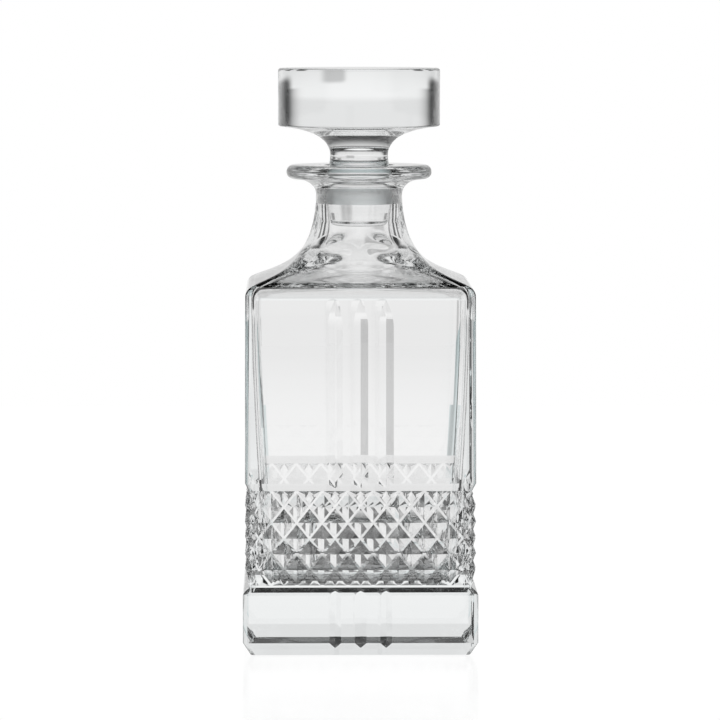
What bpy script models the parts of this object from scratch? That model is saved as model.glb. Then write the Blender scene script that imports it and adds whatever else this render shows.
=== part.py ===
"""Cut crystal decanter with a ground glass stopper. Metres, +Z up, resting on z = 0, axis on Z."""

import math

import bmesh
import bpy
import numpy as np
from mathutils import Matrix

MM = 0.001

# Faces: four alike, round a rounded square. A face runs from the middle of one corner to the next.
CELLS_ACROSS = 9
CELL_WIDE = 10.50 * MM
CELL_ROWS = 6
FACE_WIDE = CELLS_ACROSS * CELL_WIDE
CORNER_RADIUS = 1.8 * MM
INNER_CORNER_RADIUS = 3.0 * MM

# Heights and half-widths of the outside, from the base up
BASE_HALF = 45.3 * MM
PLINTH_HALF = 48.5 * MM
CHAMFER_TOP = 5.3 * MM
PLINTH_BEND = 25.0 * MM
PLINTH_TOP = 26.2 * MM
PLINTH_TOP_HALF = 48.0 * MM
GROOVE_FOOT = 28.0 * MM
BAND_BOTTOM = 28.9 * MM
BAND_TOP = 67.9 * MM
BAND_HALF = 47.7 * MM
BORDER_RISE = 3.3 * MM
BODY_FOOT_HALF = 47.6 * MM
FACE_TOP = 148.0 * MM
FACE_TOP_HALF = 47.4 * MM
SHOULDER_EDGE_RADIUS = 4.5 * MM
SHOULDER_EDGE_TURN = 65
CUT_DEPTH = 2.2 * MM
SCORE_WELD = 0.0001 * MM
WELD = 0.002 * MM
FLAT_ENOUGH = math.radians(0.05)

# Shoulder, neck and lip, as (half-width, height) in millimetres
SHOULDER_CURVE = ((44.8, 152.1), (36.9, 156.4), (20.0, 157.6), (18.1, 185.5))
ROUNDING_FROM, ROUNDING_TO = 156.0 * MM, 170.0 * MM
COVE_CURVE = ((18.0, 188.2), (18.1, 192.2), (21.5, 194.6), (27.5, 195.0))
LIP_RADIUS = 30.4 * MM
LIP_THICK = 5.9 * MM
LIP_TOP = 200.8 * MM
LIP_UNDERSIDE_TURN = -60
MOUTH_RADIUS = 14.4 * MM
MOUTH_ROUNDING = 2.0 * MM

# Inside of the glass
GROUND_TOP, GROUND_TOP_RADIUS = 192.4 * MM, 14.2 * MM
GROUND_FOOT, GROUND_FOOT_RADIUS = 184.3 * MM, 13.95 * MM
INNER_SHOULDER_CURVE = ((13.5, 176.5), (13.6, 162.5), (19.0, 157.8), (42.4, 150.6))
INNER_EDGE_CURVE = ((42.4, 150.6), (43.9, 150.1), (44.9, 149.0), (44.9, 146.5))
INNER_ROUND_HALF, INNER_SQUARE_HALF = 15.0 * MM, 30.0 * MM
INNER_WALL_CURVE = ((44.9, 146.5), (44.8, 115.0), (42.4, 75.0), (39.4, 36.0))
CAVITY_FLOOR = 28.0 * MM
FLOOR_RADIUS = 8.0 * MM
FLOOR_WALL_HALF = 39.4 * MM

# Flutes: three upright V cuts on each face, above and below the band
FLUTES_PER_FACE = 3
FLUTE_HALF_WIDE = 3.1 * MM
FLUTE_DEPTH = 1.25 * MM
FLUTE_TIP = 147.0 * MM
FLUTE_TIP_LONG = 12.0 * MM
FLUTE_TIP_STEPS = 6
FLUTE_FOOT = 68.0 * MM
PLINTH_FLUTE_HALF_WIDE = 2.4 * MM
PLINTH_FLUTE_DEPTH = 1.3 * MM
CUTTER_PROUD = 1.5 * MM
CUTTER_BELOW = 1.0 * MM

# Stopper
HEAD_RADIUS = 33.9 * MM
HEAD_TOP = 241.2 * MM
HEAD_FOOT = 216.8 * MM
HEAD_ROUNDING = 1.2 * MM
COVE_UNDER_HEAD = ((32.7, 216.8), (26.0, 215.9), (13.0, 214.3), (12.1, 205.5))
PLUG_FLARE = ((12.1, 205.5), (12.1, 201.5), (13.0, 199.0), (13.7, 195.4))
PLUG_GAP = 0.3 * MM
PLUG_FOOT, PLUG_FOOT_RADIUS = 176.5 * MM, 12.2 * MM
PLUG_END, PLUG_END_RADIUS = 174.5 * MM, 10.6 * MM
STOPPER_STEPS = 48
STOPPER_WELD = 0.01 * MM

# Straight pieces along each curve
EDGE_STEPS = 3
SHOULDER_STEPS = 8
INNER_SHOULDER_STEPS = 6
INNER_WALL_STEPS = 3
COVE_STEPS = 4
LIP_STEPS = 5
HEAD_EDGE_STEPS = 2
HEAD_COVE_STEPS = 6

GLASS_COLOUR = (0.93, 0.96, 0.95, 1.0)
GLASS_ROUGHNESS = 0.02
GLASS_IOR = 1.52


def clear_scene():
    for obj in list(bpy.data.objects):
        bpy.data.objects.remove(obj, do_unlink=True)


def new_collection(name):
    collection = bpy.data.collections.new(name)
    bpy.context.scene.collection.children.link(collection)
    return collection


def glass(name):
    material = bpy.data.materials.new(name)
    material.use_nodes = True
    shader = material.node_tree.nodes["Principled BSDF"]
    shader.inputs["Base Color"].default_value = GLASS_COLOUR
    shader.inputs["Roughness"].default_value = GLASS_ROUGHNESS
    shader.inputs["Metallic"].default_value = 0.0
    shader.inputs["IOR"].default_value = GLASS_IOR
    shader.inputs["Transmission Weight"].default_value = 1.0
    return material


def bezier(points_mm, steps):
    """Points along a cubic curve, in metres, with both ends."""
    ends = np.array(points_mm) * MM
    t = np.linspace(0.0, 1.0, steps + 1)[:, None]
    weights = np.hstack([(1 - t) ** 3, 3 * t * (1 - t) ** 2, 3 * t * t * (1 - t), t**3])
    return [tuple(point) for point in weights @ ends]


def arc(centre, radius, start, end, steps):
    """Points on an arc, angles in degrees from outward (+X) towards up."""
    angles = np.radians(np.linspace(start, end, steps + 1))
    return [(centre[0] + radius * math.cos(a), centre[1] + radius * math.sin(a)) for a in angles]


def outer_corner(half, z):
    """Corner radius of the outside: small on the body, and the whole half-width on the neck."""
    along = min(max((z - ROUNDING_FROM) / (ROUNDING_TO - ROUNDING_FROM), 0.0), 1.0)
    share = along * along * (3 - 2 * along)
    return CORNER_RADIUS + (half - CORNER_RADIUS) * share


def inner_corner(half, z):
    """Corner radius of the inside: small on the cavity's walls, easing to round up the shoulder."""
    if z <= INNER_EDGE_CURVE[-1][1] * MM:
        return INNER_CORNER_RADIUS
    along = (half - INNER_ROUND_HALF) / (INNER_SQUARE_HALF - INNER_ROUND_HALF)
    along = min(max(along, 0.0), 1.0)
    share = along * along * (3 - 2 * along)
    return half + (INNER_CORNER_RADIUS - half) * share


def outside_path():
    """(half-width, height) up the outside of the envelope, from the middle of the base to the lip."""
    band = np.linspace(BAND_BOTTOM, BAND_TOP, CELL_ROWS + 1)
    rounding = SHOULDER_EDGE_RADIUS
    lip_edge = (LIP_RADIUS - LIP_THICK / 2, LIP_TOP - LIP_THICK / 2)
    path = [(0.0, 0.0), (BASE_HALF, 0.0), (PLINTH_HALF, CHAMFER_TOP), (PLINTH_HALF, PLINTH_BEND)]
    path += [(PLINTH_TOP_HALF, PLINTH_TOP), (BAND_HALF, GROOVE_FOOT)]
    path += [(BAND_HALF, z) for z in band]
    path += [(BODY_FOOT_HALF, BAND_TOP + BORDER_RISE)]
    path += arc((FACE_TOP_HALF - rounding, FACE_TOP), rounding, 0, SHOULDER_EDGE_TURN, EDGE_STEPS)
    path += bezier(SHOULDER_CURVE, SHOULDER_STEPS)[1:]
    path += bezier(COVE_CURVE, COVE_STEPS)
    path += arc(lip_edge, LIP_THICK / 2, LIP_UNDERSIDE_TURN, 90, LIP_STEPS)
    return path


def inside_path():
    """(half-width, height) from the mouth down the inside to the middle of the cavity's floor."""
    mouth_edge = (MOUTH_RADIUS + MOUTH_ROUNDING, LIP_TOP - MOUTH_ROUNDING)
    path = arc(mouth_edge, MOUTH_ROUNDING, 90, 180, EDGE_STEPS)
    path += [(GROUND_TOP_RADIUS, GROUND_TOP), (GROUND_FOOT_RADIUS, GROUND_FOOT)]
    path += bezier(INNER_SHOULDER_CURVE, INNER_SHOULDER_STEPS)
    path += bezier(INNER_EDGE_CURVE, EDGE_STEPS)[1:]
    path += bezier(INNER_WALL_CURVE, INNER_WALL_STEPS)[1:-1]
    centre = (FLOOR_WALL_HALF - FLOOR_RADIUS, CAVITY_FLOOR + FLOOR_RADIUS)
    path += arc(centre, FLOOR_RADIUS, 0, -90, EDGE_STEPS)
    path += [(0.0, CAVITY_FLOOR)]
    return path


def stations():
    """Rows of (distance along the path, half-width, height, corner radius), and the lip's distance."""
    outside, inside = outside_path(), inside_path()
    corners = [min(outer_corner(*point), point[0]) for point in outside]
    corners += [min(inner_corner(*point), point[0]) for point in inside]
    path = np.array(outside + inside)
    distances = np.concatenate([[0.0], np.cumsum(np.linalg.norm(np.diff(path, axis=0), axis=1))])
    return np.column_stack([distances, path, corners]), distances[len(outside) - 1]


def on_rounded_square(share, half, corner):
    """Point of the face on -Y, at a share from -1 to 1 of the way between its corners' middles."""
    flat = half - corner
    along = abs(share) * (flat + corner * math.pi / 4)
    turn = max(along - flat, 0.0) / corner if corner > 0.0 else 0.0
    x = min(along, flat) + corner * math.sin(turn)
    y = -flat - corner * math.cos(turn)
    return math.copysign(x, share), y


def diamond_depth(u, z):
    """Depth of the crossing V cuts: none at a diamond's point, all of it along its edges."""
    row_high = (BAND_TOP - BAND_BOTTOM) / CELL_ROWS
    across, up = u / (CELL_WIDE / 2), (z - BAND_BOTTOM) / row_high
    first, second = abs((across + up) % 2 - 1), abs((across - up) % 2 - 1)
    return CUT_DEPTH * (1 - min(first, second))


def relief(u, z):
    """Depth of the cuts below the envelope, for the band and the grooves that border it."""
    if z <= PLINTH_TOP or z >= BAND_TOP + BORDER_RISE:
        return 0.0
    if z < BAND_BOTTOM:
        return CUT_DEPTH * min((z - PLINTH_TOP) / (GROOVE_FOOT - PLINTH_TOP), 1.0)
    border = CUT_DEPTH * max(1 - min(abs(z - BAND_BOTTOM), abs(z - BAND_TOP)) / BORDER_RISE, 0.0)
    return border if z > BAND_TOP else max(border, diamond_depth(u, z))


def placed(u, distance, rows, lip):
    """Where a point of the flat sheet goes on the face on -Y. Cuts are on the outside only."""
    half, z, corner = (np.interp(distance, rows[:, 0], rows[:, i]) for i in (1, 2, 3))
    share = u / (FACE_WIDE / 2)
    x, y = on_rounded_square(share, half, corner)
    depth = relief(u, z) if distance < lip else 0.0
    turn = math.copysign(max(abs(share) * CELLS_ACROSS - (CELLS_ACROSS - 1), 0.0), share)
    angle = math.radians(45) * turn
    return x - depth * math.sin(angle), y + depth * math.cos(angle), z


def score(bm, u, distance, slope, low, high):
    """Cuts the flat sheet along a line, on faces whose middle lies between two distances."""
    faces = [f for f in bm.faces if low < f.calc_center_median().y < high]
    edges = list(dict.fromkeys(edge for face in faces for edge in face.edges))
    corners = list(dict.fromkeys(vertex for face in faces for vertex in face.verts))
    plane = {"plane_co": (u, distance, 0), "plane_no": (slope, -1, 0)}
    bmesh.ops.bisect_plane(bm, geom=faces + edges + corners, dist=SCORE_WELD, **plane)


def flat_sheet(rows):
    """The wall of one face unrolled flat: x along the face, y the distance up its path."""
    corner_start = FACE_WIDE / 2 - CORNER_RADIUS * math.pi / 4
    columns = [i * CELL_WIDE / 2 for i in range(-CELLS_ACROSS, CELLS_ACROSS + 1)]
    columns += [side * u for side in (-1, 1) for u in (corner_start, (corner_start + FACE_WIDE / 2) / 2)]
    columns.sort()
    bm = bmesh.new()
    grid = [[bm.verts.new((u, distance, 0.0)) for u in columns] for distance in rows[:, 0]]
    for lower, upper in zip(grid, grid[1:]):
        for i in range(len(columns) - 1):
            bm.faces.new((lower[i], lower[i + 1], upper[i + 1], upper[i]))
    return bm


def score_band(bm, rows):
    """Scores the diamonds' edges and where the border grooves cut them."""
    low = rows[np.argmax(rows[:, 2] >= BAND_BOTTOM), 0]
    high = low + BAND_TOP - BAND_BOTTOM
    row_high = (high - low) / CELL_ROWS
    slope = row_high / (CELL_WIDE / 2)
    reach = CELLS_ACROSS + CELL_ROWS
    for i in range(-reach, reach + 1):
        if i % 2:
            score(bm, i * CELL_WIDE / 2, low, slope, low, high)
            score(bm, i * CELL_WIDE / 2, low, -slope, low, high)
    peak = 1 / (1 / row_high + 1 / BORDER_RISE)
    border_slope = peak / (CELL_WIDE / 2)
    for i in range(-CELLS_ACROSS, CELLS_ACROSS + 1, 2):
        for side in (-1, 1):
            score(bm, i * CELL_WIDE / 2, low, side * border_slope, low, low + peak)
            score(bm, i * CELL_WIDE / 2, high, side * border_slope, high - peak, high)


def body_mesh():
    rows, lip = stations()
    bm = flat_sheet(rows)
    score_band(bm, rows)
    for vertex in bm.verts:
        vertex.co = placed(vertex.co.x, vertex.co.y, rows, lip)
    quarter = list(bm.verts) + list(bm.edges) + list(bm.faces)
    for turns in (1, 2, 3):
        copied = bmesh.ops.duplicate(bm, geom=quarter)["geom"]
        corners = [v for v in copied if isinstance(v, bmesh.types.BMVert)]
        bmesh.ops.rotate(bm, verts=corners, matrix=Matrix.Rotation(turns * math.pi / 2, 3, "Z"))
    bmesh.ops.remove_doubles(bm, verts=bm.verts, dist=WELD)
    bmesh.ops.dissolve_degenerate(bm, edges=bm.edges, dist=WELD)
    bmesh.ops.dissolve_limit(bm, angle_limit=FLAT_ENOUGH, verts=bm.verts, edges=bm.edges)
    bmesh.ops.recalc_face_normals(bm, faces=bm.faces)
    mesh = bpy.data.meshes.new("decanter_body")
    bm.to_mesh(mesh)
    bm.free()
    return mesh


def v_cutter(bm, x, spread, sections):
    """Adds a closed V-shaped cutter: sections are (height, half-width of the root) on the face on -Y."""
    rings = []
    for z, root_half in sections:
        outer = PLINTH_HALF + CUTTER_PROUD
        wide = spread * (outer - root_half)
        corners = ((x, -root_half, z), (x - wide, -outer, z), (x + wide, -outer, z))
        rings.append([bm.verts.new(corner) for corner in corners])
    bm.faces.new(rings[0])
    bm.faces.new(rings[-1])
    for lower, upper in zip(rings, rings[1:]):
        for i in range(3):
            bm.faces.new((lower[i], lower[(i + 1) % 3], upper[(i + 1) % 3], upper[i]))


def body_flute_sections():
    """Full depth up the face, then running out in an arched tip."""
    slope = (FACE_TOP_HALF - BODY_FOOT_HALF) / (FACE_TOP - BAND_TOP - BORDER_RISE)
    sections = [(FLUTE_FOOT, FLUTE_DEPTH)]
    for i in range(FLUTE_TIP_STEPS + 1):
        along = i / FLUTE_TIP_STEPS
        sections.append((FLUTE_TIP - FLUTE_TIP_LONG * (1 - along), FLUTE_DEPTH * (1 - along**2)))
    face = [BODY_FOOT_HALF + slope * (z - BAND_TOP - BORDER_RISE) for z, _ in sections]
    return [(z, half - depth) for (z, depth), half in zip(sections, face)]


def plinth_flute_sections():
    root = PLINTH_HALF - PLINTH_FLUTE_DEPTH
    return [(-CUTTER_BELOW, root), ((GROOVE_FOOT + BAND_BOTTOM) / 2, root)]


def flute_cutter(name, collection, half_wide, depth, sections):
    """One object holding the cutters of all four faces."""
    bm = bmesh.new()
    for turns in range(4):
        start = len(bm.verts)
        for i in range(FLUTES_PER_FACE):
            x = (i - (FLUTES_PER_FACE - 1) / 2) * CELL_WIDE
            v_cutter(bm, x, half_wide / depth, sections)
        bm.verts.ensure_lookup_table()
        turn = Matrix.Rotation(turns * math.pi / 2, 3, "Z")
        bmesh.ops.rotate(bm, verts=bm.verts[start:], matrix=turn)
    bmesh.ops.recalc_face_normals(bm, faces=bm.faces)
    mesh = bpy.data.meshes.new(name)
    bm.to_mesh(mesh)
    bm.free()
    cutter = bpy.data.objects.new(name, mesh)
    cutter.hide_render = True
    cutter.display_type = "WIRE"
    collection.objects.link(cutter)
    return cutter


def cut(obj, cutter):
    modifier = obj.modifiers.new(cutter.name, "BOOLEAN")
    modifier.operation = "DIFFERENCE"
    modifier.solver = "EXACT"
    modifier.object = cutter


def make_body(parts, cutters):
    body = bpy.data.objects.new("decanter_body", body_mesh())
    body.data.materials.append(glass("decanter_glass"))
    parts.objects.link(body)
    upper = body_flute_sections()
    lower = plinth_flute_sections()
    cut(body, flute_cutter("body_flutes", cutters, FLUTE_HALF_WIDE, FLUTE_DEPTH, upper))
    cut(body, flute_cutter("plinth_flutes", cutters, PLINTH_FLUTE_HALF_WIDE, PLINTH_FLUTE_DEPTH, lower))
    return body


def stopper_profile():
    """(radius, height) of the stopper, from the top of its axis down its outside to the plug's end."""
    edge = HEAD_RADIUS - HEAD_ROUNDING
    profile = [(0.0, HEAD_TOP)]
    profile += arc((edge, HEAD_TOP - HEAD_ROUNDING), HEAD_ROUNDING, 90, 0, HEAD_EDGE_STEPS)
    profile += arc((edge, HEAD_FOOT + HEAD_ROUNDING), HEAD_ROUNDING, 0, -90, HEAD_EDGE_STEPS)
    profile += bezier(COVE_UNDER_HEAD, HEAD_COVE_STEPS)[1:]
    profile += bezier(PLUG_FLARE, COVE_STEPS)[1:]
    profile += [(GROUND_TOP_RADIUS - PLUG_GAP, GROUND_TOP)]
    profile += [(GROUND_FOOT_RADIUS - PLUG_GAP, GROUND_FOOT)]
    profile += [(PLUG_FOOT_RADIUS, PLUG_FOOT)]
    profile += [(PLUG_END_RADIUS, PLUG_END)]
    profile += [(0.0, PLUG_END)]
    return profile


def make_stopper(parts):
    mesh = bpy.data.meshes.new("stopper")
    points = [(radius, 0.0, z) for radius, z in stopper_profile()]
    mesh.from_pydata(points, [(i, i + 1) for i in range(len(points) - 1)], [])
    stopper = bpy.data.objects.new("stopper", mesh)
    stopper.data.materials.append(glass("stopper_glass"))
    parts.objects.link(stopper)
    screw = stopper.modifiers.new("turned", "SCREW")
    screw.steps = STOPPER_STEPS
    screw.render_steps = STOPPER_STEPS
    screw.use_merge_vertices = True
    screw.merge_threshold = STOPPER_WELD
    return stopper


def main():
    clear_scene()
    parts = new_collection("cut_crystal_decanter")
    cutters = new_collection("cutters")
    make_body(parts, cutters)
    make_stopper(parts)


main()
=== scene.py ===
"""Looks of the cut crystal decanter: fine glass meshes, ground joint, studio and camera. Metres, +Z up."""

import math

import bmesh
import bpy
import numpy as np
from mathutils import Matrix, Vector


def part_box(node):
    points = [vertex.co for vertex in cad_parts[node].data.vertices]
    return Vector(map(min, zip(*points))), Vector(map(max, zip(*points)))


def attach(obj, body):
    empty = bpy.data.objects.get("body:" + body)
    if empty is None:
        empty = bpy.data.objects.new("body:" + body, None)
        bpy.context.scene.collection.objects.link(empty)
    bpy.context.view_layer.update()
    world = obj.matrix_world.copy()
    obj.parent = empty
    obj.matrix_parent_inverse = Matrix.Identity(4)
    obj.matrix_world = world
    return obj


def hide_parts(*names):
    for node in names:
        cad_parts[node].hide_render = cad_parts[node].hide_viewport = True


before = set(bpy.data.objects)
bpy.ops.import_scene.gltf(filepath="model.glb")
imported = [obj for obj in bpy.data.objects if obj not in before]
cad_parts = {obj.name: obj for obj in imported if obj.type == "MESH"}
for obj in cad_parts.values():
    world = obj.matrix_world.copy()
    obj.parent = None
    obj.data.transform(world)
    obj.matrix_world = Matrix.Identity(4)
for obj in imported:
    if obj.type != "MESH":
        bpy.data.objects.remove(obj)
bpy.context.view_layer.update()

MM = 0.001
body_low, body_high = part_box("decanter_body")
stopper_low, stopper_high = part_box("stopper")

# Faces: four alike, round a rounded square. A face runs from the middle of one corner to the next.
PLINTH_HALF = body_high.x
CELLS_ACROSS = 9
CELL_WIDE = 10.50 * MM
CELL_ROWS = 6
FACE_WIDE = CELLS_ACROSS * CELL_WIDE
CORNER_RADIUS = 1.8 * MM
INNER_CORNER_RADIUS = 3.0 * MM

# Heights and half-widths of the outside, from the base up
BASE_HALF = PLINTH_HALF - 3.2 * MM
CHAMFER_TOP = 5.3 * MM
PLINTH_BEND = 25.0 * MM
PLINTH_TOP = 26.2 * MM
PLINTH_TOP_HALF = PLINTH_HALF - 0.5 * MM
GROOVE_FOOT = 28.0 * MM
BAND_BOTTOM = 28.9 * MM
BAND_TOP = 67.9 * MM
BAND_HALF = PLINTH_HALF - 0.8 * MM
BORDER_RISE = 3.3 * MM
BODY_FOOT_HALF = PLINTH_HALF - 0.9 * MM
FACE_TOP = 148.0 * MM
FACE_TOP_HALF = PLINTH_HALF - 1.1 * MM
SHOULDER_EDGE_RADIUS = 4.5 * MM
SHOULDER_EDGE_TURN = 65
CUT_DEPTH = 2.2 * MM
GROOVE_FLAT = 0.12

# Shoulder, neck and lip, as (half-width, height) in millimetres
SHOULDER_CURVE = ((44.8, 152.1), (36.9, 156.4), (20.0, 157.6), (18.1, 185.5))
ROUNDING_FROM, ROUNDING_TO = 156.0 * MM, 170.0 * MM
COVE_CURVE = ((18.0, 188.2), (18.1, 192.2), (21.5, 194.6), (27.5, 195.0))
LIP_TOP = body_high.z
LIP_RADIUS = 30.4 * MM
LIP_THICK = 5.9 * MM
LIP_UNDERSIDE_TURN = -80
MOUTH_RADIUS = 14.4 * MM
MOUTH_ROUNDING = 2.0 * MM

# Inside of the glass
GROUND_TOP, GROUND_TOP_RADIUS = 192.4 * MM, 14.2 * MM
GROUND_FOOT, GROUND_FOOT_RADIUS = 184.3 * MM, 13.95 * MM
INNER_SHOULDER_CURVE = ((13.5, 176.5), (13.6, 162.5), (19.0, 157.8), (42.4, 150.6))
INNER_EDGE_CURVE = ((42.4, 150.6), (43.9, 150.1), (44.9, 149.0), (44.9, 146.5))
INNER_ROUND_HALF, INNER_SQUARE_HALF = 15.0 * MM, 30.0 * MM
INNER_WALL_CURVE = ((44.9, 146.5), (44.8, 115.0), (42.4, 75.0), (39.4, 36.0))
CAVITY_FLOOR = 28.0 * MM
FLOOR_RADIUS = 8.0 * MM
FLOOR_WALL_HALF = 39.4 * MM

# Flutes: three upright V cuts on each face, above and below the band
FLUTES_PER_FACE = 3
FLUTE_HALF_WIDE = 3.1 * MM
FLUTE_DEPTH = 1.25 * MM
FLUTE_TIP = 147.0 * MM
FLUTE_TIP_LONG = 12.0 * MM
FLUTE_TIP_STEPS = 12
FLUTE_FOOT = 68.0 * MM
PLINTH_FLUTE_HALF_WIDE = 2.4 * MM
PLINTH_FLUTE_DEPTH = 1.3 * MM
CUTTER_PROUD = 1.5 * MM
CUTTER_BELOW = 1.0 * MM

# Stopper
HEAD_RADIUS = stopper_high.x
HEAD_TOP = stopper_high.z
HEAD_FOOT = HEAD_TOP - 24.4 * MM
HEAD_ROUNDING = 1.2 * MM
COVE_UNDER_HEAD = ((32.7, 216.8), (26.0, 215.9), (13.0, 214.3), (12.1, 205.5))
PLUG_FLARE = ((12.1, 205.5), (12.1, 201.5), (13.0, 199.0), (13.7, 195.4))
PLUG_GAP = 0.3 * MM
PLUG_FOOT, PLUG_FOOT_RADIUS = 176.5 * MM, 12.2 * MM
PLUG_END, PLUG_END_RADIUS = stopper_low.z, 10.6 * MM
PLUG_END_ROUNDING = 1.6 * MM
STOPPER_STEPS = 144

# Mesh fineness
COLUMNS_PER_HALF_CELL = 3
CORNER_STEPS = 4
COLUMN_DIGITS = 9
SCORE_WELD = 0.0001 * MM
WELD = 0.002 * MM
LEVEL_RISE = 0.001 * MM

# Straight pieces along each curve
EDGE_STEPS = 10
SHOULDER_STEPS = 44
COVE_STEPS = 18
LIP_STEPS = 22
INNER_SHOULDER_STEPS = 40
INNER_WALL_STEPS = 16
HEAD_EDGE_STEPS = 8
HEAD_COVE_STEPS = 28
PLUG_FLARE_STEPS = 12
PLUG_END_STEPS = 6

# Glass
WHITE = (1.0, 1.0, 1.0, 1.0)
CRYSTAL_IOR = 1.53
CRYSTAL_DEPTH_TINT = (0.86, 0.915, 0.92, 1.0)
CRYSTAL_TINT_DENSITY = 3.0
GROUND_ROUGHNESS = 0.42
RING_SCALE = (25.0, 25.0, 1400.0)
RING_DETAIL = 3.0
RING_STRENGTH = 0.6
RING_DEPTH = 0.2 * MM

# Camera, fitted to the photograph's viewing angle
CAMERA_AWAY = 2.07
CAMERA_HIGH = 0.270
CAMERA_AZIMUTH = math.radians(-0.8)
AIM_HIGH = 0.1187
AIM_RIGHT = 0.0004
VIEW_WIDE = 0.3024
SENSOR_MM = 36.0
CLIP_NEAR, CLIP_FAR = 0.05, 50.0

# Floor. Every ramp below is (from, to) and eases between the two.
FLOOR_WIDE = 2.4
FLOOR_GAP = 0.0004
FLOOR_SEEN = 1.085
FLOOR_GLOSS = 0.16
FLOOR_GLOSS_ROUGHNESS = 0.12
# Painted shadow round the foot: the floor's glow eases from the first level inside the first radius to the
# second level outside the second
SHADE_RADII = (0.045, 0.085)
SHADE_LEVELS = (0.12, 0.95)
FADE_RADII = (0.5, 1.2)
FADE_LEVELS = (1.0, 0.88)
# Painted dark gaps in the floor's glow, at the azimuths of the glass's corners
GAP_START, GAP_END = (28.0, 34.0), (39.0, 42.0)
GAP_LEVEL = 0.12

# Grey card beside the middle of each face: degrees round from it, on the floor and low on the walls
CARD_START, CARD_END = (5.0, 10.0), (15.0, 24.0)
CARD_LEVEL = 0.62
CARD_FLOOR_RADII = (0.35, 0.5)
CARD_TOP = (-0.052, -0.040)

# Studio walls: places as the upward or the sideways part of a direction of length one
WALLS_SEEN = 1.0
SIDE_EDGE = (0.66, 0.84)
SIDE_FOOT = (-0.085, -0.05)
SIDE_LEVEL = 0.05
HIGH_SIDE_EDGE = (0.50, 0.85)
HIGH_SIDE_FOOT = (-0.045, -0.035)
HIGH_SIDE_LEVEL = 0.40
LOW_DIP = (-0.09, -0.03)
LOW_DIP_LEVELS = (0.88, 1.0)
EYE_HAZE = (-0.024, -0.010)
EYE_HAZE_LEVELS = (1.0, 0.86)
UPPER_FALL = (0.22, 0.60)
UPPER_LEVELS = (0.92, 0.04)
SOFTBOX_EDGE = (0.88, 0.94)

GLASS_BOUNCES = 24
GLOSS_BOUNCES = 12


# ---------------------------------------------------------------- outlines


def bezier(points_mm, steps):
    """Points along a cubic curve, in metres, with both ends."""
    ends = np.array(points_mm) * MM
    t = np.linspace(0.0, 1.0, steps + 1)[:, None]
    weights = np.hstack([(1 - t) ** 3, 3 * t * (1 - t) ** 2, 3 * t * t * (1 - t), t**3])
    return [tuple(point) for point in weights @ ends]


def arc(centre, radius, start, end, steps):
    """Points on an arc, angles in degrees from outward (+X) towards up."""
    angles = np.radians(np.linspace(start, end, steps + 1))
    return [(centre[0] + radius * math.cos(a), centre[1] + radius * math.sin(a)) for a in angles]


def eased(value, low, high):
    """Share from 0 to 1 as the value goes from low to high, with soft ends."""
    along = min(max((value - low) / (high - low), 0.0), 1.0)
    return along * along * (3 - 2 * along)


def outer_corner(half, z):
    """Corner radius of the outside: small on the body, and the whole half-width on the neck."""
    return CORNER_RADIUS + (half - CORNER_RADIUS) * eased(z, ROUNDING_FROM, ROUNDING_TO)


def inner_corner(half, z):
    """Corner radius of the inside: small on the cavity's walls, easing to round up the shoulder."""
    if z <= INNER_EDGE_CURVE[-1][1] * MM:
        return INNER_CORNER_RADIUS
    return half + (INNER_CORNER_RADIUS - half) * eased(half, INNER_ROUND_HALF, INNER_SQUARE_HALF)


def outside_path():
    """(half-width, height) up the outside from the base's middle: the straight part and the curved part."""
    band = np.linspace(BAND_BOTTOM, BAND_TOP, CELL_ROWS + 1)
    rounding = SHOULDER_EDGE_RADIUS
    lip_edge = (LIP_RADIUS - LIP_THICK / 2, LIP_TOP - LIP_THICK / 2)
    straight = [(0.0, 0.0), (BASE_HALF, 0.0), (PLINTH_HALF, CHAMFER_TOP), (PLINTH_HALF, PLINTH_BEND)]
    straight += [(PLINTH_TOP_HALF, PLINTH_TOP), (BAND_HALF, GROOVE_FOOT)]
    straight += [(BAND_HALF, z) for z in band]
    straight += [(BODY_FOOT_HALF, BAND_TOP + BORDER_RISE)]
    curved = arc((FACE_TOP_HALF - rounding, FACE_TOP), rounding, 0, SHOULDER_EDGE_TURN, EDGE_STEPS)
    curved += bezier(SHOULDER_CURVE, SHOULDER_STEPS)[1:]
    curved += bezier(COVE_CURVE, COVE_STEPS)
    curved += arc(lip_edge, LIP_THICK / 2, LIP_UNDERSIDE_TURN, 90, LIP_STEPS)
    return straight, curved


def inside_path():
    """(half-width, height) from the mouth down the inside to the middle of the cavity's floor."""
    mouth_edge = (MOUTH_RADIUS + MOUTH_ROUNDING, LIP_TOP - MOUTH_ROUNDING)
    path = arc(mouth_edge, MOUTH_ROUNDING, 90, 180, EDGE_STEPS)
    path += [(GROUND_TOP_RADIUS, GROUND_TOP), (GROUND_FOOT_RADIUS, GROUND_FOOT)]
    path += bezier(INNER_SHOULDER_CURVE, INNER_SHOULDER_STEPS)
    path += bezier(INNER_EDGE_CURVE, EDGE_STEPS)[1:]
    path += bezier(INNER_WALL_CURVE, INNER_WALL_STEPS)[1:-1]
    centre = (FLOOR_WALL_HALF - FLOOR_RADIUS, CAVITY_FLOOR + FLOOR_RADIUS)
    path += arc(centre, FLOOR_RADIUS, 0, -90, EDGE_STEPS)
    path += [(0.0, CAVITY_FLOOR)]
    return path


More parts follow.
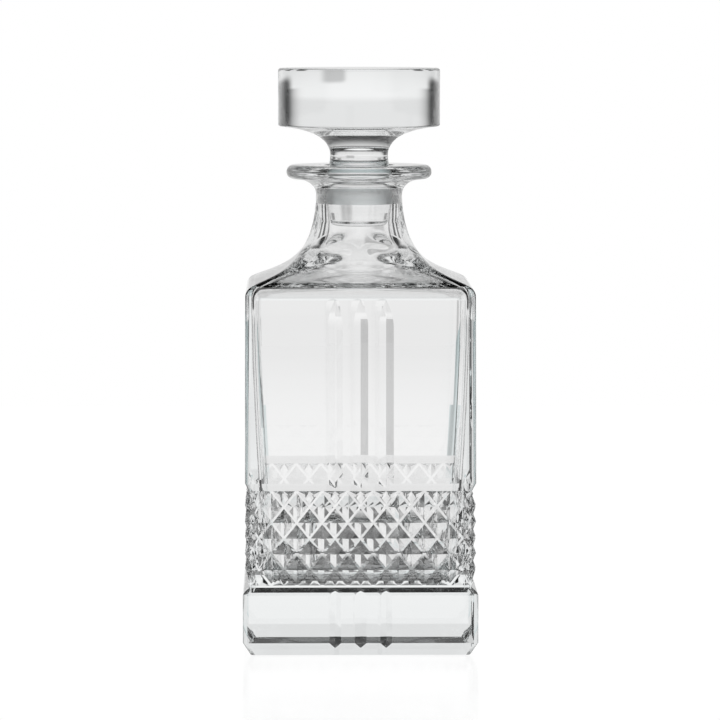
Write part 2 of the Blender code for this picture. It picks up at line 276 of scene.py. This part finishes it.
class Wall:
    """The glass wall's path, unrolled: distance along it against half-width, height and corner radius."""

    def __init__(self):
        straight, curved = outside_path()
        inside = inside_path()
        outside = straight + curved
        corners = [min(outer_corner(*point), point[0]) for point in outside]
        corners += [min(inner_corner(*point), point[0]) for point in inside]
        path = np.array(outside + inside)
        steps = np.linalg.norm(np.diff(path, axis=0), axis=1)
        self.distances = np.concatenate([[0.0], np.cumsum(steps)])
        self.half, self.height = path[:, 0], path[:, 1]
        self.corners = np.array(corners)
        self.curve_start = self.distances[len(straight)]
        self.lip = self.distances[len(outside) - 1]
        self.band_start = self.distances[np.argmax(self.height >= BAND_BOTTOM)]

    def at(self, distance):
        """Half-width, height and corner radius at a distance."""
        return [np.interp(distance, self.distances, row) for row in (self.half, self.height, self.corners)]

    def is_flat(self, u, distance):
        """True where the glass is flat or faceted, so that its faces aren't shaded as a curve."""
        half, z, corner = self.at(distance)
        if half == 0.0:
            return False
        flat = (half - corner) / (half - corner + corner * math.pi / 4) * FACE_WIDE / 2
        in_band = self.band_start < distance < self.band_start + BAND_TOP - BAND_BOTTOM
        wall_top, wall_foot = INNER_WALL_CURVE[0][1] * MM, INNER_WALL_CURVE[-1][1] * MM
        in_cavity = distance > self.lip and wall_foot < z < wall_top
        return in_band or ((distance < self.curve_start or in_cavity) and abs(u) < flat)

    def is_ground(self, distance):
        """True on the frosted stretch of the bore."""
        return distance > self.lip and GROUND_FOOT < self.at(distance)[1] < GROUND_TOP


def on_rounded_square(share, half, corner):
    """Point of the face on -Y, at a share from -1 to 1 of the way between its corners' middles."""
    flat = half - corner
    along = abs(share) * (flat + corner * math.pi / 4)
    turn = max(along - flat, 0.0) / corner if corner > 0.0 else 0.0
    x = min(along, flat) + corner * math.sin(turn)
    y = -flat - corner * math.cos(turn)
    return math.copysign(x, share), y


def diamond_depth(u, z):
    """Depth of the crossing cuts: none at a diamond's point, all of it in the narrow flat of a groove."""
    row_high = (BAND_TOP - BAND_BOTTOM) / CELL_ROWS
    across, up = u / (CELL_WIDE / 2), (z - BAND_BOTTOM) / row_high
    nearest = min(abs((across + up) % 2 - 1), abs((across - up) % 2 - 1))
    return CUT_DEPTH * (1 - max(nearest - GROOVE_FLAT, 0.0) / (1 - GROOVE_FLAT))


def relief(u, z):
    """Depth of the cuts below the envelope, for the band and the grooves that border it."""
    if z <= PLINTH_TOP or z >= BAND_TOP + BORDER_RISE:
        return 0.0
    if z < BAND_BOTTOM:
        return CUT_DEPTH * min((z - PLINTH_TOP) / (GROOVE_FOOT - PLINTH_TOP), 1.0)
    border = CUT_DEPTH * max(1 - min(abs(z - BAND_BOTTOM), abs(z - BAND_TOP)) / BORDER_RISE, 0.0)
    return border if z > BAND_TOP else max(border, diamond_depth(u, z))


def placed(u, distance, wall):
    """Where a point of the flat sheet goes on the face on -Y. Cuts are on the outside only."""
    half, z, corner = wall.at(distance)
    share = u / (FACE_WIDE / 2)
    x, y = on_rounded_square(share, half, corner)
    depth = relief(u, z) if distance < wall.lip else 0.0
    turn = math.copysign(max(abs(share) * CELLS_ACROSS - (CELLS_ACROSS - 1), 0.0), share)
    angle = math.radians(45) * turn
    return x - depth * math.sin(angle), y + depth * math.cos(angle), z


# ---------------------------------------------------------------- decanter body


def score(bm, u, distance, slope, low, high):
    """Cuts the flat sheet along a line, on faces whose middle lies between two distances."""
    faces = [f for f in bm.faces if low < f.calc_center_median().y < high]
    edges = list(dict.fromkeys(edge for face in faces for edge in face.edges))
    corners = list(dict.fromkeys(vertex for face in faces for vertex in face.verts))
    plane = {"plane_co": (u, distance, 0), "plane_no": (slope, -1, 0)}
    bmesh.ops.bisect_plane(bm, geom=faces + edges + corners, dist=SCORE_WELD, **plane)


def flat_sheet(wall):
    """The wall of one face unrolled flat: x along the face, y the distance up its path."""
    corner_start = FACE_WIDE / 2 - CORNER_RADIUS * math.pi / 4
    fine = CELL_WIDE / 2 / COLUMNS_PER_HALF_CELL
    reach = CELLS_ACROSS * COLUMNS_PER_HALF_CELL
    columns = {round(i * fine, COLUMN_DIGITS) for i in range(-reach, reach + 1)}
    for i in range(CORNER_STEPS):
        u = corner_start + (FACE_WIDE / 2 - corner_start) * i / CORNER_STEPS
        columns |= {round(u, COLUMN_DIGITS), round(-u, COLUMN_DIGITS)}
    columns = sorted(columns)
    bm = bmesh.new()
    grid = [[bm.verts.new((u, distance, 0.0)) for u in columns] for distance in wall.distances]
    for lower, upper in zip(grid, grid[1:]):
        for i in range(len(columns) - 1):
            bm.faces.new((lower[i], lower[i + 1], upper[i + 1], upper[i]))
    return bm


def score_band(bm, wall):
    """Scores the grooves' edges and where the border grooves cut the diamonds."""
    low = wall.band_start
    high = low + BAND_TOP - BAND_BOTTOM
    row_high = (high - low) / CELL_ROWS
    half_cell = CELL_WIDE / 2
    slope = row_high / half_cell
    reach = CELLS_ACROSS + CELL_ROWS
    for i in range(-reach, reach + 1):
        if i % 2:
            for edge in (-GROOVE_FLAT, GROOVE_FLAT):
                score(bm, (i + edge) * half_cell, low, slope, low, high)
                score(bm, (i + edge) * half_cell, low, -slope, low, high)
    rise = 1 - GROOVE_FLAT
    peak = rise / (1 / row_high + rise / BORDER_RISE)
    border_slope = peak / (half_cell * rise)
    for i in range(-CELLS_ACROSS + 1, CELLS_ACROSS, 2):
        for side in (-1, 1):
            u = (i + side * rise) * half_cell
            score(bm, u, low, -side * border_slope, low, low + peak)
            score(bm, u, high, side * border_slope, high - peak, high)


def body_mesh():
    """The body's glass without its flutes: one face's sheet scored, shaped and turned round four times."""
    wall = Wall()
    bm = flat_sheet(wall)
    score_band(bm, wall)
    for face in bm.faces:
        middle = face.calc_center_median()
        face.smooth = not wall.is_flat(middle.x, middle.y)
        face.material_index = 1 if wall.is_ground(middle.y) else 0
    for vertex in bm.verts:
        vertex.co = placed(vertex.co.x, vertex.co.y, wall)
    quarter = list(bm.verts) + list(bm.edges) + list(bm.faces)
    for turns in (1, 2, 3):
        copied = bmesh.ops.duplicate(bm, geom=quarter)["geom"]
        corners = [v for v in copied if isinstance(v, bmesh.types.BMVert)]
        bmesh.ops.rotate(bm, verts=corners, matrix=Matrix.Rotation(turns * math.pi / 2, 3, "Z"))
    bmesh.ops.remove_doubles(bm, verts=bm.verts, dist=WELD)
    bmesh.ops.dissolve_degenerate(bm, edges=bm.edges, dist=WELD)
    bmesh.ops.triangulate(bm, faces=bm.faces)
    bmesh.ops.recalc_face_normals(bm, faces=bm.faces)
    mesh = bpy.data.meshes.new("crystal_body")
    bm.to_mesh(mesh)
    bm.free()
    return mesh


def v_cutter(bm, x, spread, sections):
    """Adds a closed V-shaped cutter: sections are (height, half-width of the root) on the face on -Y."""
    rings = []
    for z, root_half in sections:
        outer = PLINTH_HALF + CUTTER_PROUD
        wide = spread * (outer - root_half)
        corners = ((x, -root_half, z), (x - wide, -outer, z), (x + wide, -outer, z))
        rings.append([bm.verts.new(corner) for corner in corners])
    bm.faces.new(rings[0])
    bm.faces.new(rings[-1])
    for lower, upper in zip(rings, rings[1:]):
        for i in range(3):
            bm.faces.new((lower[i], lower[(i + 1) % 3], upper[(i + 1) % 3], upper[i]))


def body_flute_sections():
    """Full depth up the face, then running out in an arched tip."""
    slope = (FACE_TOP_HALF - BODY_FOOT_HALF) / (FACE_TOP - BAND_TOP - BORDER_RISE)
    sections = [(FLUTE_FOOT, FLUTE_DEPTH)]
    for i in range(FLUTE_TIP_STEPS + 1):
        along = i / FLUTE_TIP_STEPS
        sections.append((FLUTE_TIP - FLUTE_TIP_LONG * (1 - along), FLUTE_DEPTH * (1 - along**2)))
    face = [BODY_FOOT_HALF + slope * (z - BAND_TOP - BORDER_RISE) for z, _ in sections]
    return [(z, half - depth) for (z, depth), half in zip(sections, face)]


def plinth_flute_sections():
    """Full depth from below the base up into the groove over the plinth."""
    root = PLINTH_HALF - PLINTH_FLUTE_DEPTH
    return [(-CUTTER_BELOW, root), ((GROOVE_FOOT + BAND_BOTTOM) / 2, root)]


def flute_cutter():
    """One object holding the cutters of all four faces."""
    bm = bmesh.new()
    body, plinth = body_flute_sections(), plinth_flute_sections()
    for turns in range(4):
        start = len(bm.verts)
        for i in range(FLUTES_PER_FACE):
            x = (i - (FLUTES_PER_FACE - 1) / 2) * CELL_WIDE
            v_cutter(bm, x, FLUTE_HALF_WIDE / FLUTE_DEPTH, body)
            v_cutter(bm, x, PLINTH_FLUTE_HALF_WIDE / PLINTH_FLUTE_DEPTH, plinth)
        bm.verts.ensure_lookup_table()
        turn = Matrix.Rotation(turns * math.pi / 2, 3, "Z")
        bmesh.ops.rotate(bm, verts=bm.verts[start:], matrix=turn)
    bmesh.ops.recalc_face_normals(bm, faces=bm.faces)
    mesh = bpy.data.meshes.new("flute_cutter")
    bm.to_mesh(mesh)
    bm.free()
    return bpy.data.objects.new("flute_cutter", mesh)


def with_cut(obj, cutter):
    """Cuts the cutter out of the object's mesh for good, and removes the cutter."""
    bpy.context.scene.collection.objects.link(cutter)
    modifier = obj.modifiers.new("cut", "BOOLEAN")
    modifier.operation = "DIFFERENCE"
    modifier.solver = "EXACT"
    modifier.object = cutter
    graph = bpy.context.evaluated_depsgraph_get()
    mesh = bpy.data.meshes.new_from_object(obj.evaluated_get(graph))
    obj.modifiers.clear()
    obj.data = mesh
    bpy.data.objects.remove(cutter, do_unlink=True)


def make_body(materials):
    """The decanter's body, with clear glass first and ground glass second."""
    body = bpy.data.objects.new("crystal_body", body_mesh())
    for material in materials:
        body.data.materials.append(material)
    bpy.context.scene.collection.objects.link(body)
    with_cut(body, flute_cutter())
    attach(body, "decanter")
    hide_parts("decanter_body")


# ---------------------------------------------------------------- stopper


def stopper_profile():
    """(radius, height) of the stopper, from the top of its axis down its outside to the plug's end."""
    edge = HEAD_RADIUS - HEAD_ROUNDING
    profile = [(0.0, HEAD_TOP)]
    profile += arc((edge, HEAD_TOP - HEAD_ROUNDING), HEAD_ROUNDING, 90, 0, HEAD_EDGE_STEPS)
    profile += arc((edge, HEAD_FOOT + HEAD_ROUNDING), HEAD_ROUNDING, 0, -90, HEAD_EDGE_STEPS)
    profile += bezier(COVE_UNDER_HEAD, HEAD_COVE_STEPS)[1:]
    profile += bezier(PLUG_FLARE, PLUG_FLARE_STEPS)[1:]
    profile += [(GROUND_TOP_RADIUS - PLUG_GAP, GROUND_TOP)]
    profile += [(GROUND_FOOT_RADIUS - PLUG_GAP, GROUND_FOOT)]
    profile += [(PLUG_FOOT_RADIUS, PLUG_FOOT)]
    plug_edge = (PLUG_END_RADIUS, PLUG_END + PLUG_END_ROUNDING)
    profile += arc(plug_edge, PLUG_END_ROUNDING, 0, -90, PLUG_END_STEPS)
    profile += [(0.0, PLUG_END)]
    return profile


def make_stopper(materials):
    """The stopper turned from its profile, with clear glass first and ground glass second."""
    bm = bmesh.new()
    points = [bm.verts.new((radius, 0.0, z)) for radius, z in stopper_profile()]
    for upper, lower in zip(points, points[1:]):
        bm.edges.new((upper, lower))
    geometry = list(bm.verts) + list(bm.edges)
    turned = {"axis": (0, 0, 1), "cent": (0, 0, 0), "angle": math.tau, "steps": STOPPER_STEPS}
    bmesh.ops.spin(bm, geom=geometry, use_merge=True, **turned)
    bmesh.ops.remove_doubles(bm, verts=bm.verts, dist=WELD)
    for face in bm.faces:
        heights = [vertex.co.z for vertex in face.verts]
        face.smooth = max(heights) - min(heights) > LEVEL_RISE
        face.material_index = 1 if GROUND_FOOT < face.calc_center_median().z < GROUND_TOP else 0
    bmesh.ops.recalc_face_normals(bm, faces=bm.faces)
    mesh = bpy.data.meshes.new("crystal_stopper")
    bm.to_mesh(mesh)
    bm.free()
    stopper = bpy.data.objects.new("crystal_stopper", mesh)
    for material in materials:
        mesh.materials.append(material)
    bpy.context.scene.collection.objects.link(stopper)
    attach(stopper, "stopper")
    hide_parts("stopper")


# ---------------------------------------------------------------- shading


class Shading:
    """A material's or the world's nodes, with short names for the few kinds used here."""

    def __init__(self, owner):
        owner.use_nodes = True
        self.nodes = owner.node_tree.nodes
        self.links = owner.node_tree.links

    def math(self, operation, *values):
        """A sum on sockets and plain numbers."""
        node = self.nodes.new("ShaderNodeMath")
        node.operation = operation
        for socket, value in zip(node.inputs, values):
            if isinstance(value, (int, float)):
                socket.default_value = value
            else:
                self.links.new(value, socket)
        return node.outputs[0]

    def product(self, first, *others):
        for other in others:
            first = self.math("MULTIPLY", first, other)
        return first

    def ramp(self, value, places, levels=(0.0, 1.0)):
        """Eases from one level to the other as the value goes from one place to the other."""
        node = self.nodes.new("ShaderNodeMapRange")
        node.interpolation_type = "SMOOTHSTEP"
        self.links.new(value, node.inputs["Value"])
        node.inputs["From Min"].default_value, node.inputs["From Max"].default_value = places
        node.inputs["To Min"].default_value, node.inputs["To Max"].default_value = levels
        return node.outputs["Result"]

    def between(self, angle, start, end):
        """1 between two edges given in degrees, easing to 0 outside them."""
        inside = self.ramp(angle, tuple(map(math.radians, start)))
        before = self.ramp(angle, tuple(map(math.radians, end)), (1.0, 0.0))
        return self.product(inside, before)

    def shaded(self, share, level):
        """Light that falls from 1 to a level as the share goes from 0 to 1."""
        return self.ramp(share, (0.0, 1.0), (1.0, level))

    def coordinates(self, kind):
        place = self.nodes.new("ShaderNodeTexCoord")
        parts = self.nodes.new("ShaderNodeSeparateXYZ")
        self.links.new(place.outputs[kind], parts.inputs[0])
        return parts.outputs

    def round_axis(self, x, y):
        """Azimuth round the object, and the turn from the middle of the nearest face."""
        azimuth = self.math("ARCTAN2", x, y)
        return azimuth, self.math("WRAP", azimuth, math.pi / 4, -math.pi / 4)

    def seen_white(self, light, white):
        """The camera itself sees plain white: the light's shape shows only in and through the glass."""
        path = self.nodes.new("ShaderNodeLightPath")
        mix = self.nodes.new("ShaderNodeMix")
        self.links.new(path.outputs["Is Camera Ray"], mix.inputs["Factor"])
        self.links.new(light, mix.inputs["A"])
        mix.inputs["B"].default_value = white
        return mix.outputs["Result"]


# ---------------------------------------------------------------- glass


def crystal(name, roughness):
    """Crystal glass with a trace of blue-green in its depth."""
    material = bpy.data.materials.new(name)
    shading = Shading(material)
    shader = shading.nodes["Principled BSDF"]
    shader.inputs["Base Color"].default_value = WHITE
    shader.inputs["Roughness"].default_value = roughness
    shader.inputs["IOR"].default_value = CRYSTAL_IOR
    shader.inputs["Transmission Weight"].default_value = 1.0
    tint = shading.nodes.new("ShaderNodeVolumeAbsorption")
    tint.inputs["Color"].default_value = CRYSTAL_DEPTH_TINT
    tint.inputs["Density"].default_value = CRYSTAL_TINT_DENSITY
    shading.links.new(tint.outputs["Volume"], shading.nodes["Material Output"].inputs["Volume"])
    return material


def ground_crystal(name):
    """The frosted joint, with the fine rings that grinding leaves round it."""
    material = crystal(name, GROUND_ROUGHNESS)
    nodes, links = material.node_tree.nodes, material.node_tree.links
    place = nodes.new("ShaderNodeTexCoord")
    stretch = nodes.new("ShaderNodeMapping")
    stretch.inputs["Scale"].default_value = RING_SCALE
    rings = nodes.new("ShaderNodeTexNoise")
    rings.inputs["Scale"].default_value = 1.0
    rings.inputs["Detail"].default_value = RING_DETAIL
    bump = nodes.new("ShaderNodeBump")
    bump.inputs["Strength"].default_value = RING_STRENGTH
    bump.inputs["Distance"].default_value = RING_DEPTH
    links.new(place.outputs["Object"], stretch.inputs["Vector"])
    links.new(stretch.outputs["Vector"], rings.inputs["Vector"])
    links.new(rings.outputs["Fac"], bump.inputs["Height"])
    links.new(bump.outputs["Normal"], nodes["Principled BSDF"].inputs["Normal"])
    return material


# ---------------------------------------------------------------- studio


def floor_light(shading):
    """Painted light from the glowing floor: dark gaps at the corners, a grey card, a painted shadow close
    round the foot, and a slow fade.
    """
    x, y, _ = shading.coordinates("Object")
    _, turn = shading.round_axis(x, y)
    squares = shading.product(x, x), shading.product(y, y)
    far = shading.math("SQRT", shading.math("ADD", *squares))
    in_gap = shading.between(shading.math("ABSOLUTE", turn), GAP_START, GAP_END)
    in_card = shading.between(turn, CARD_START, CARD_END)
    on_card = shading.product(in_card, shading.ramp(far, CARD_FLOOR_RADII))
    # Painted shadow: the floor's glow is turned down close round the glass, where a shadow would fall
    painted_foot_shadow = shading.ramp(far, SHADE_RADII, SHADE_LEVELS)
    distant = shading.ramp(far, FADE_RADII, FADE_LEVELS)
    gaps, card = shading.shaded(in_gap, GAP_LEVEL), shading.shaded(on_card, CARD_LEVEL)
    return shading.product(painted_foot_shadow, distant, gaps, card)


def make_floor():
    """A white table with a faint gloss. It glows rather than being lit: plain white to the camera, and in and
    through the glass it shows the painted light and shade of floor_light.
    """
    bpy.ops.mesh.primitive_plane_add(size=FLOOR_WIDE, location=(0, 0, -FLOOR_GAP))
    floor = bpy.context.object
    floor.name = "studio_floor"
    material = bpy.data.materials.new("white_table")
    shading = Shading(material)
    nodes, links = shading.nodes, shading.links
    nodes.remove(nodes["Principled BSDF"])
    white = nodes.new("ShaderNodeEmission")
    links.new(shading.seen_white(floor_light(shading), FLOOR_SEEN), white.inputs["Strength"])
    gloss = nodes.new("ShaderNodeBsdfGlossy")
    gloss.inputs["Roughness"].default_value = FLOOR_GLOSS_ROUGHNESS
    mix = nodes.new("ShaderNodeMixShader")
    mix.inputs["Fac"].default_value = FLOOR_GLOSS
    links.new(white.outputs[0], mix.inputs[1])
    links.new(gloss.outputs[0], mix.inputs[2])
    links.new(mix.outputs[0], nodes["Material Output"].inputs["Surface"])
    floor.data.materials.append(material)


def wall_light(shading):
    """Light from the walls: bright before and behind, dark at the sides and up high, and a softbox on top."""
    x, y, z = shading.coordinates("Generated")
    azimuth, turn = shading.round_axis(x, y)
    sideways = shading.math("ABSOLUTE", shading.math("SINE", azimuth))
    at_side = shading.product(shading.ramp(sideways, SIDE_EDGE), shading.ramp(z, SIDE_FOOT))
    high_side = shading.product(shading.ramp(sideways, HIGH_SIDE_EDGE), shading.ramp(z, HIGH_SIDE_FOOT))
    in_card = shading.between(turn, CARD_START, CARD_END)
    on_card = shading.product(in_card, shading.ramp(z, CARD_TOP, (1.0, 0.0)))
    walls = shading.product(
        shading.shaded(at_side, SIDE_LEVEL),
        shading.ramp(z, UPPER_FALL, UPPER_LEVELS),
        shading.shaded(on_card, CARD_LEVEL),
        shading.ramp(z, LOW_DIP, LOW_DIP_LEVELS),
        shading.shaded(high_side, HIGH_SIDE_LEVEL),
        shading.ramp(z, EYE_HAZE, EYE_HAZE_LEVELS),
    )
    return shading.math("ADD", walls, shading.ramp(z, SOFTBOX_EDGE))


def make_studio():
    world = bpy.data.worlds.new("light_tent")
    bpy.context.scene.world = world
    shading = Shading(world)
    background = shading.nodes["Background"]
    background.inputs["Color"].default_value = WHITE
    shading.links.new(shading.seen_white(wall_light(shading), WALLS_SEEN), background.inputs["Strength"])


def make_camera():
    data = bpy.data.cameras.new("camera")
    camera = bpy.data.objects.new("camera", data)
    bpy.context.scene.collection.objects.link(camera)
    side, forward = math.sin(CAMERA_AZIMUTH), math.cos(CAMERA_AZIMUTH)
    camera.location = (CAMERA_AWAY * side, -CAMERA_AWAY * forward, CAMERA_HIGH)
    aim = Vector((AIM_RIGHT, 0, AIM_HIGH)) - camera.location
    camera.rotation_euler = aim.to_track_quat("-Z", "Y").to_euler()
    data.sensor_width = SENSOR_MM
    data.lens = SENSOR_MM * aim.length / VIEW_WIDE
    data.clip_start, data.clip_end = CLIP_NEAR, CLIP_FAR
    bpy.context.scene.camera = camera


def set_look():
    """Plain colours, and enough bounces for light to get through several walls of glass."""
    scene = bpy.context.scene
    scene.view_settings.view_transform = "Standard"
    scene.cycles.max_bounces = GLASS_BOUNCES
    scene.cycles.transmission_bounces = GLASS_BOUNCES
    scene.cycles.glossy_bounces = GLOSS_BOUNCES


# ---------------------------------------------------------------- everything

make_camera()
clear, ground = crystal("clear_crystal", 0.0), ground_crystal("ground_crystal")
make_body([clear, ground])
make_stopper([clear, ground])
make_floor()
make_studio()
set_look()
